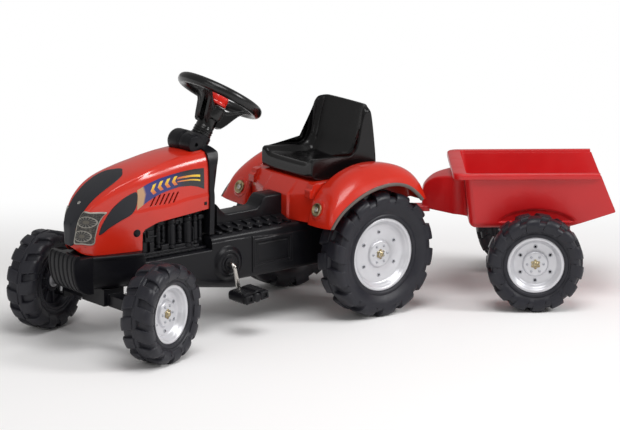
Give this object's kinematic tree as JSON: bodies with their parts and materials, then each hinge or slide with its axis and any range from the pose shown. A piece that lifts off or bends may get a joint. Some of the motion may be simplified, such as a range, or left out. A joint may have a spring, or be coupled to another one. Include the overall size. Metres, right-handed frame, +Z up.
{
  "type": "ride-on pedal tractor",
  "caption": "Child's ride-on pedal tractor with steered front wheels, chain-driven rear axle, bucket seat and a hitched open trailer.",
  "frame": {"origin": "on the ground under the middle of the rear axle", "axes": "+X towards the tractor's front, +Y to its left, +Z up"},
  "size_m": [1.3216, 0.6796, 0.5466],
  "materials": {
    "frame_black": "fine satin grain",
    "shell_red": "glossy moulded",
    "trailer_red": "glossy moulded",
    "inlay_dark": "satin dark insert",
    "lamp_silver": "metallised film",
    "trim_grey": "satin",
    "seat_black": "glossy moulded",
    "horn_red": "glossy",
    "tyre_dark": "moulded plastic tyre, satin",
    "rim_light": "satin",
    "bright_steel": "bright zinc plating",
    "plate_steel": "dull zinc plating",
    "cap_brass": "yellow zinc plating",
    "bush_grey": "satin",
    "chain_black": "satin"
  },
  "bodies": {
    "tractor": {"frame_left": "frame_black", "frame_right": "frame_black", "engine_left": "frame_black", "engine_right": "frame_black", "bonnet": "shell_red", "grille": "inlay_dark", "vent_left": "inlay_dark", "vent_right": "inlay_dark", "headlamp_left": "lamp_silver", "headlamp_right": "lamp_silver", "dash": "frame_black", "bumper": "frame_black", "axle_beam": "frame_black", "kingpins": "plate_steel", "seat_unit": "shell_red", "trim_left": "trim_grey", "trim_right": "trim_grey", "seat": "seat_black", "fender_bolts": "bright_steel", "bonnet_plugs": "inlay_dark", "bonnet_screws": "bright_steel", "crank_bushes": "bush_grey", "axle_bushes": "bush_grey", "chain": "chain_black", "hitch_jaw": "frame_black", "hitch_pin": "bright_steel"},
    "steering": {"steering_wheel": "frame_black", "steering_shaft": "plate_steel"},
    "horn": {"horn_pad": "horn_red"},
    "tie_plate": {"tie_plate": "plate_steel"},
    "knuckle_left": {"knuckle_left": "plate_steel", "cap_front_left": "cap_brass"},
    "knuckle_right": {"knuckle_right": "plate_steel", "cap_front_right": "cap_brass"},
    "wheel_front_left": {"tyre_front_left": "tyre_dark", "rim_front_left": "rim_light"},
    "wheel_front_right": {"tyre_front_right": "tyre_dark", "rim_front_right": "rim_light"},
    "crank": {"crank": "bright_steel", "chainwheel": "bush_grey", "pedal_caps": "cap_brass"},
    "pedal_left": {"pedal_left": "frame_black"},
    "pedal_right": {"pedal_right": "frame_black"},
    "rear_axle": {"rear_axle": "bright_steel", "sprocket": "bush_grey", "rear_caps": "cap_brass", "tyre_rear_left": "tyre_dark", "rim_rear_left": "rim_light"},
    "wheel_rear_right": {"tyre_rear_right": "tyre_dark", "rim_rear_right": "rim_light"},
    "trailer": {"tub": "trailer_red", "drawbar": "trailer_red", "axle_carrier": "frame_black", "trailer_axle": "bright_steel", "trailer_caps": "cap_brass"},
    "wheel_trailer_left": {"tyre_trailer_left": "tyre_dark", "rim_trailer_left": "rim_light"},
    "wheel_trailer_right": {"tyre_trailer_right": "tyre_dark", "rim_trailer_right": "rim_light"}
  },
  "joints": [
    {"name": "steer_turn", "type": "hinge", "parent": "tractor", "child": "steering", "pos_m": [0.348, 0, 0.407], "axis": [-0.5446, 0, 0.8387], "range_deg": [-61.98, 9.91]},
    {"name": "horn_press", "type": "slide", "parent": "steering", "child": "horn", "axis": [0.5446, 0, -0.8387], "range_m": [0, 0.003], "stiffness_N_per_m": 400},
    {"name": "tie_shift", "type": "slide", "parent": "tractor", "child": "tie_plate", "axis": [0, 1, 0], "range_m": [-0.00656, 0.04052]},
    {"name": "knuckle_left_turn", "type": "hinge", "parent": "tractor", "child": "knuckle_left", "pos_m": [0.6, 0.15, 0.104], "axis": [0, 0, 1], "range_deg": [-48.23, 7.73]},
    {"name": "knuckle_right_turn", "type": "hinge", "parent": "tractor", "child": "knuckle_right", "pos_m": [0.6, -0.15, 0.104], "axis": [0, 0, 1], "range_deg": [-48.23, 7.73]},
    {"name": "wheel_front_left_roll", "type": "hinge", "parent": "knuckle_left", "child": "wheel_front_left", "pos_m": [0.58615, 0.18753, 0.104], "axis": [-0.3461, 0.9382, 0], "continuous": true},
    {"name": "wheel_front_right_roll", "type": "hinge", "parent": "knuckle_right", "child": "wheel_front_right", "pos_m": [0.61384, -0.18753, 0.104], "axis": [-0.3461, 0.9382, 0], "continuous": true},
    {"name": "crank_turn", "type": "hinge", "parent": "tractor", "child": "crank", "pos_m": [0.332, 0, 0.147], "axis": [0, 1, 0], "continuous": true},
    {"name": "pedal_left_turn", "type": "hinge", "parent": "crank", "child": "pedal_left", "pos_m": [0.3189, 0, 0.08742], "axis": [0, 1, 0], "continuous": true},
    {"name": "pedal_right_turn", "type": "hinge", "parent": "crank", "child": "pedal_right", "pos_m": [0.3451, 0, 0.20658], "axis": [0, 1, 0], "continuous": true},
    {"name": "rear_axle_turn", "type": "hinge", "parent": "tractor", "child": "rear_axle", "pos_m": [0, 0, 0.135], "axis": [0, 1, 0], "continuous": true},
    {"name": "wheel_rear_right_roll", "type": "hinge", "parent": "rear_axle", "child": "wheel_rear_right", "pos_m": [0, -0.158, 0.135], "axis": [0, 1, 0], "continuous": true},
    {"name": "trailer_swing", "type": "hinge", "parent": "tractor", "child": "trailer", "pos_m": [-0.117, 0, 0.187], "axis": [0, 0, 1], "range_deg": [-8.57, 81.43]},
    {"name": "wheel_trailer_left_roll", "type": "hinge", "parent": "trailer", "child": "wheel_trailer_left", "pos_m": [-0.29242, 0.34076, 0.104], "axis": [0.5938, 0.8046, 0], "continuous": true},
    {"name": "wheel_trailer_right_roll", "type": "hinge", "parent": "trailer", "child": "wheel_trailer_right", "pos_m": [-0.49433, 0.06721, 0.104], "axis": [0.5938, 0.8046, 0], "continuous": true}
  ],
  "couplings": [
    {"joint": "knuckle_left_turn", "follows": "steer_turn", "ratio": 0.77779},
    {"joint": "knuckle_right_turn", "follows": "steer_turn", "ratio": 0.77779},
    {"joint": "tie_shift", "follows": "steer_turn", "m_per_rad": -0.03736},
    {"joint": "rear_axle_turn", "follows": "crank_turn", "ratio": 1.5}
  ]
}
